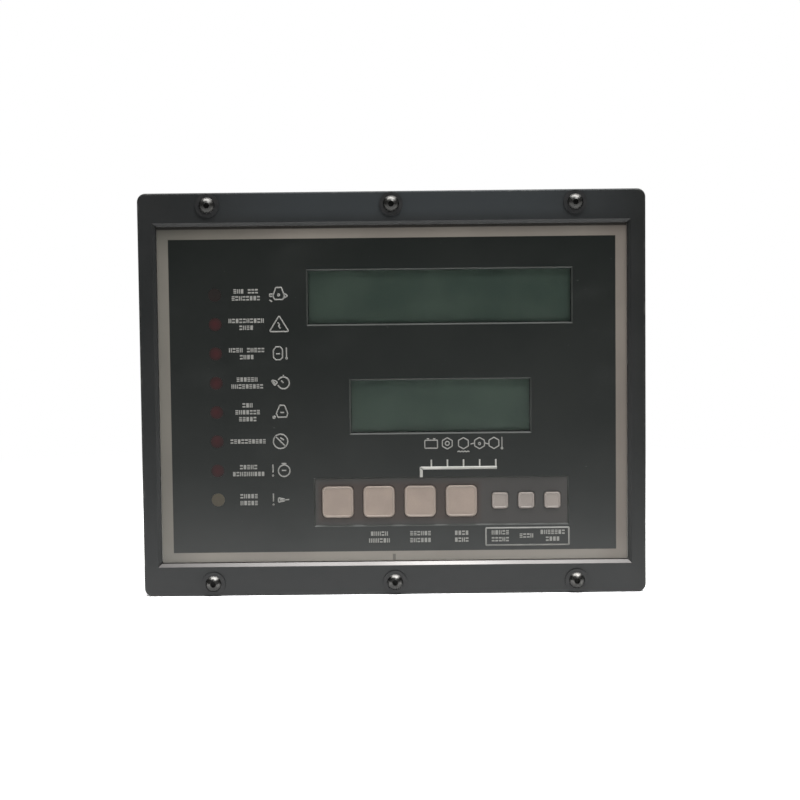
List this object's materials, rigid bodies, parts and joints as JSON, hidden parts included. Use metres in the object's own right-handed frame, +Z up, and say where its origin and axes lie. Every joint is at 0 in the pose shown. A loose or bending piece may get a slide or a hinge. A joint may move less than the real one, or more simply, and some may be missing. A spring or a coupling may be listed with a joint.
{
  "type": "genset controller",
  "caption": "Flush-mounted generator set controller: cast bezel with panel screws, recessed front with displays, indicators and travelling keys, and a rear housing with a harness connector.",
  "frame": {"origin": "middle of the mounting plane, which is the back of the panel gasket", "axes": "+X to the right seen from the front, +Y into the cabinet, +Z up"},
  "size_m": [0.301, 0.0899, 0.241],
  "materials": {
    "bezel_paint": "satin charcoal paint on cast aluminium",
    "black_steel": "black oxide steel, slightly worn",
    "white_nylon": "natural nylon",
    "black_rubber": "black sheet rubber",
    "overlay_film": "dark printed film with a tan border",
    "clear_window": "clear acrylic",
    "red_lens": "dark red unlit lens",
    "amber_lens": "amber unlit lens",
    "keypad_plastic": "dark brown-grey moulding",
    "zinc_steel": "zinc-plated steel",
    "dome_film": "polyester film with snap domes",
    "carrier_aluminium": "bare sheet",
    "lcd_sheet": "black-painted sheet",
    "lcd_glass": "grey-green display, off",
    "white_plastic": "white light guide",
    "board": "green circuit board",
    "brass_posts": "nickel-free brass",
    "black_plastic": "black moulding",
    "red_led": "red epoxy",
    "amber_led": "amber epoxy",
    "blue_plastic": "blue potting case",
    "capacitor_sleeve": "sleeved can",
    "cast_aluminium": "cast, lightly blasted",
    "connector_plastic": "black glass-filled moulding",
    "pin_brass": "plain brass",
    "red_rubber": "red silicone",
    "key_plastic": "warm grey keys"
  },
  "bodies": {
    "chassis": {"bezel": "bezel_paint", "panel_screws": "black_steel", "panel_screw_washers": "black_steel", "screw_retainers": "white_nylon", "panel_gasket": "black_rubber", "front_overlay": "overlay_film", "upper_window": "clear_window", "lower_window": "clear_window", "red_lenses": "red_lens", "amber_lens": "amber_lens", "keypad_frame": "keypad_plastic", "keypad_screws": "zinc_steel", "dome_array": "dome_film", "carrier_plate": "carrier_aluminium", "upper_lcd_frame": "lcd_sheet", "upper_lcd_glass": "lcd_glass", "upper_lcd_backlight": "white_plastic", "upper_lcd_board": "board", "lower_lcd_frame": "lcd_sheet", "lower_lcd_glass": "lcd_glass", "lower_lcd_backlight": "white_plastic", "lower_lcd_board": "board", "lcd_standoffs": "brass_posts", "lcd_screws": "zinc_steel", "lcd_headers": "black_plastic", "display_board": "board", "red_leds": "red_led", "amber_led": "amber_led", "board_standoffs": "brass_posts", "board_spacers": "brass_posts", "board_screws": "zinc_steel", "main_board": "board", "board_link": "black_plastic", "relays": "black_plastic", "sensing_transformers": "blue_plastic", "power_capacitors": "capacitor_sleeve", "control_chips": "black_plastic", "rear_housing": "cast_aluminium", "housing_gasket": "black_rubber", "housing_screws": "zinc_steel", "harness_connector": "connector_plastic", "connector_pins": "pin_brass", "jackscrew_insert": "pin_brass", "connector_gasket": "red_rubber", "connector_screws": "zinc_steel", "ground_stud": "pin_brass", "ground_nut": "pin_brass", "ground_washer": "zinc_steel"},
    "key_large_1": {"key_large_1": "key_plastic"},
    "key_large_2": {"key_large_2": "key_plastic"},
    "key_large_3": {"key_large_3": "key_plastic"},
    "key_large_4": {"key_large_4": "key_plastic"},
    "key_small_1": {"key_small_1": "key_plastic"},
    "key_small_2": {"key_small_2": "key_plastic"},
    "key_small_3": {"key_small_3": "key_plastic"}
  },
  "joints": [
    {"name": "key_large_1_press", "type": "slide", "parent": "chassis", "child": "key_large_1", "axis": [0, 1, 0], "range_m": [0, 0.0007], "stiffness_N_per_m": 2000, "springref_m": -0.0005, "deforming": ["dome_array"]},
    {"name": "key_large_2_press", "type": "slide", "parent": "chassis", "child": "key_large_2", "axis": [0, 1, 0], "range_m": [0, 0.0007], "stiffness_N_per_m": 2000, "springref_m": -0.0005, "deforming": ["dome_array"]},
    {"name": "key_large_3_press", "type": "slide", "parent": "chassis", "child": "key_large_3", "axis": [0, 1, 0], "range_m": [0, 0.0007], "stiffness_N_per_m": 2000, "springref_m": -0.0005, "deforming": ["dome_array"]},
    {"name": "key_large_4_press", "type": "slide", "parent": "chassis", "child": "key_large_4", "axis": [0, 1, 0], "range_m": [0, 0.0007], "stiffness_N_per_m": 2000, "springref_m": -0.0005, "deforming": ["dome_array"]},
    {"name": "key_small_1_press", "type": "slide", "parent": "chassis", "child": "key_small_1", "axis": [0, 1, 0], "range_m": [0, 0.0007], "stiffness_N_per_m": 2000, "springref_m": -0.0005, "deforming": ["dome_array"]},
    {"name": "key_small_2_press", "type": "slide", "parent": "chassis", "child": "key_small_2", "axis": [0, 1, 0], "range_m": [0, 0.0007], "stiffness_N_per_m": 2000, "springref_m": -0.0005, "deforming": ["dome_array"]},
    {"name": "key_small_3_press", "type": "slide", "parent": "chassis", "child": "key_small_3", "axis": [0, 1, 0], "range_m": [0, 0.0007], "stiffness_N_per_m": 2000, "springref_m": -0.0005, "deforming": ["dome_array"]}
  ]
}
